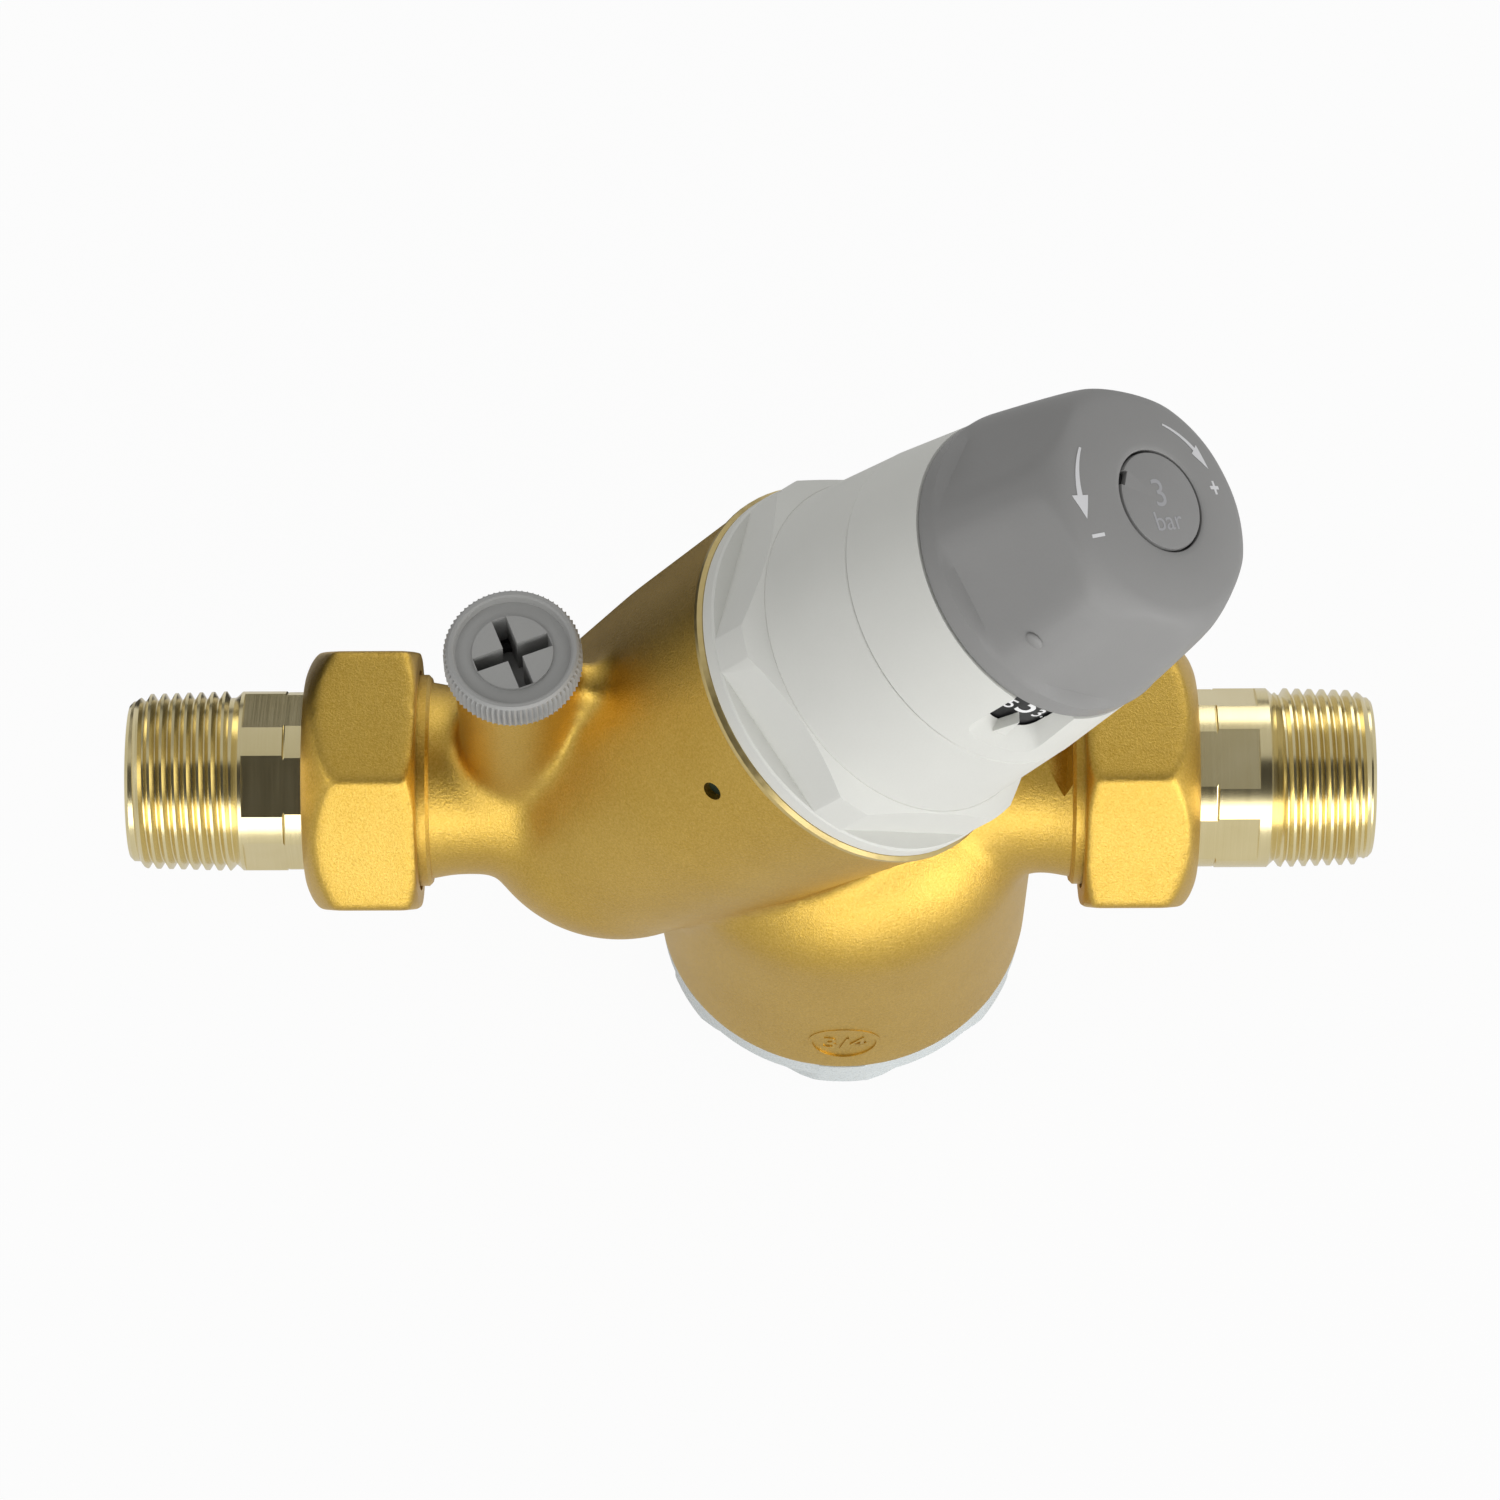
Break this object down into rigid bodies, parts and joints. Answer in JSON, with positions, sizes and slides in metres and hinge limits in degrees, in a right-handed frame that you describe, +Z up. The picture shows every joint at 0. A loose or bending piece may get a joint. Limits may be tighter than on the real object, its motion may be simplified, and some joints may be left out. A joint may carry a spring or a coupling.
{
  "type": "pressure reducing valve",
  "caption": "Brass inclined pressure reducing valve with union ends, a strainer branch, a gauge port plug and a knob that sets the outlet pressure.",
  "frame": {"origin": "middle of the pipe's centre line, halfway between the two threaded ends", "axes": "+X along the pipe towards the inlet end, +Z up and square to the pipe in the plane of the strainer and the knob, -Y is the side the window faces"},
  "size_m": [0.184, 0.0588, 0.1493],
  "materials": {
    "cast_brass": "sand blasted forging",
    "turned_brass": "turned, bright",
    "white_plastic": "light grey moulding",
    "grey_plastic": "dark grey moulding",
    "black_plastic": "black moulding with a printed scale",
    "frosted_plastic": "pale smooth moulding",
    "rubber": "black rubber",
    "steel": "stainless",
    "fibre_gasket": "pressed fibre sheet"
  },
  "bodies": {
    "valve": {"valve_body": "cast_brass", "inlet_tailpiece": "turned_brass", "outlet_tailpiece": "turned_brass", "inlet_union_gasket": "fibre_gasket", "outlet_union_gasket": "fibre_gasket", "gauge_plug": "grey_plastic", "gauge_plug_o_ring": "rubber", "spring_bonnet": "white_plastic", "indicator_sleeve": "white_plastic", "cartridge_cage": "grey_plastic", "cartridge_upper_o_ring": "rubber", "cartridge_lower_o_ring": "rubber", "valve_seat": "steel", "diaphragm": "rubber", "diaphragm_clamp_ring": "turned_brass", "thrust_washer": "steel", "strainer_cap": "frosted_plastic", "strainer_cap_o_ring": "rubber", "strainer_screen": "steel", "strainer_base_ring": "grey_plastic", "strainer_top_ring": "grey_plastic"},
    "knob": {"setting_knob": "grey_plastic", "knob_cap_insert": "grey_plastic", "knob_screw": "steel", "scale_drum": "black_plastic", "setting_screw": "turned_brass"},
    "follower": {"spring_plate": "turned_brass", "setting_spring": "steel"},
    "stem": {"valve_stem": "turned_brass", "obturator_pad": "rubber", "diaphragm_disc": "turned_brass", "lower_spring_seat": "turned_brass", "stem_nut": "steel"},
    "inlet_nut": {"inlet_union_nut": "cast_brass"},
    "outlet_nut": {"outlet_union_nut": "cast_brass"}
  },
  "joints": [
    {"name": "knob_turn", "type": "hinge", "parent": "valve", "child": "knob", "pos_m": [0.04056, 0, 0.06816], "axis": [-0.6157, 0, -0.788], "range_deg": [-45, 66.5]},
    {"name": "plate_travel", "type": "slide", "parent": "valve", "child": "follower", "axis": [-0.6157, 0, -0.788], "range_m": [-0.0018, 0.0027], "deforming": ["setting_spring"]},
    {"name": "stem_travel", "type": "slide", "parent": "valve", "child": "stem", "axis": [0.6157, 0, 0.788], "range_m": [0, 0.002], "stiffness_N_per_m": 1500, "springref_m": -0.003, "deforming": ["diaphragm"]},
    {"name": "inlet_nut_turn", "type": "hinge", "parent": "valve", "child": "inlet_nut", "pos_m": [0.057, 0, 0], "axis": [1, 0, 0], "continuous": true},
    {"name": "outlet_nut_turn", "type": "hinge", "parent": "valve", "child": "outlet_nut", "pos_m": [-0.057, 0, 0], "axis": [-1, 0, 0], "continuous": true}
  ],
  "couplings": [
    {"joint": "knob_turn", "follows": "plate_travel", "rad_per_m": 418.88}
  ]
}
